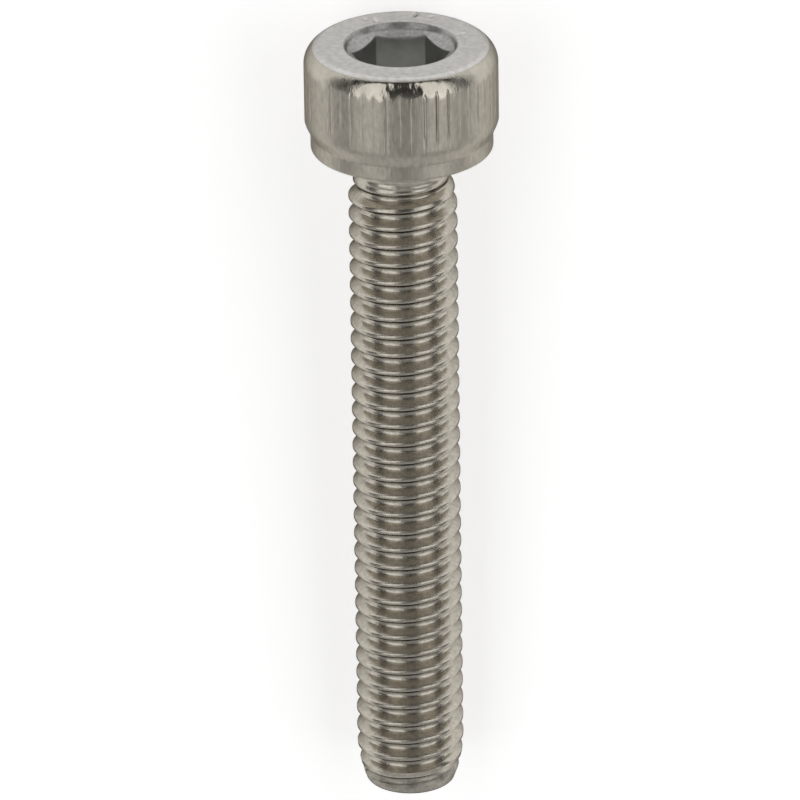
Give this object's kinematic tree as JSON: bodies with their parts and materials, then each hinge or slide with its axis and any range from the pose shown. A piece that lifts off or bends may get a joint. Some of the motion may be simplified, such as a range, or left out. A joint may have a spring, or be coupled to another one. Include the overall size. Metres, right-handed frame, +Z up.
{
  "type": "hex socket cap screw",
  "caption": "Fully threaded steel cap screw with a knurled cylindrical head and a hexagon socket, lying on its side; clamps parts through a counterbored hole.",
  "frame": {"origin": "on the floor under the middle of the screw's bounding box, as the screw lies at rest", "axes": "+X along the screw from the head to the point, level with the floor; +Z up; the screw's own axis drops towards the point by 3.5 degrees, because the head is wider than the thread"},
  "size_m": [0.029, 0.0068, 0.007],
  "materials": {
    "steel": "plain stainless steel, rolled thread, dull top face, fine worn knurl on the head"
  },
  "bodies": {
    "root": {"cap_screw": "steel"}
  },
  "joints": []
}
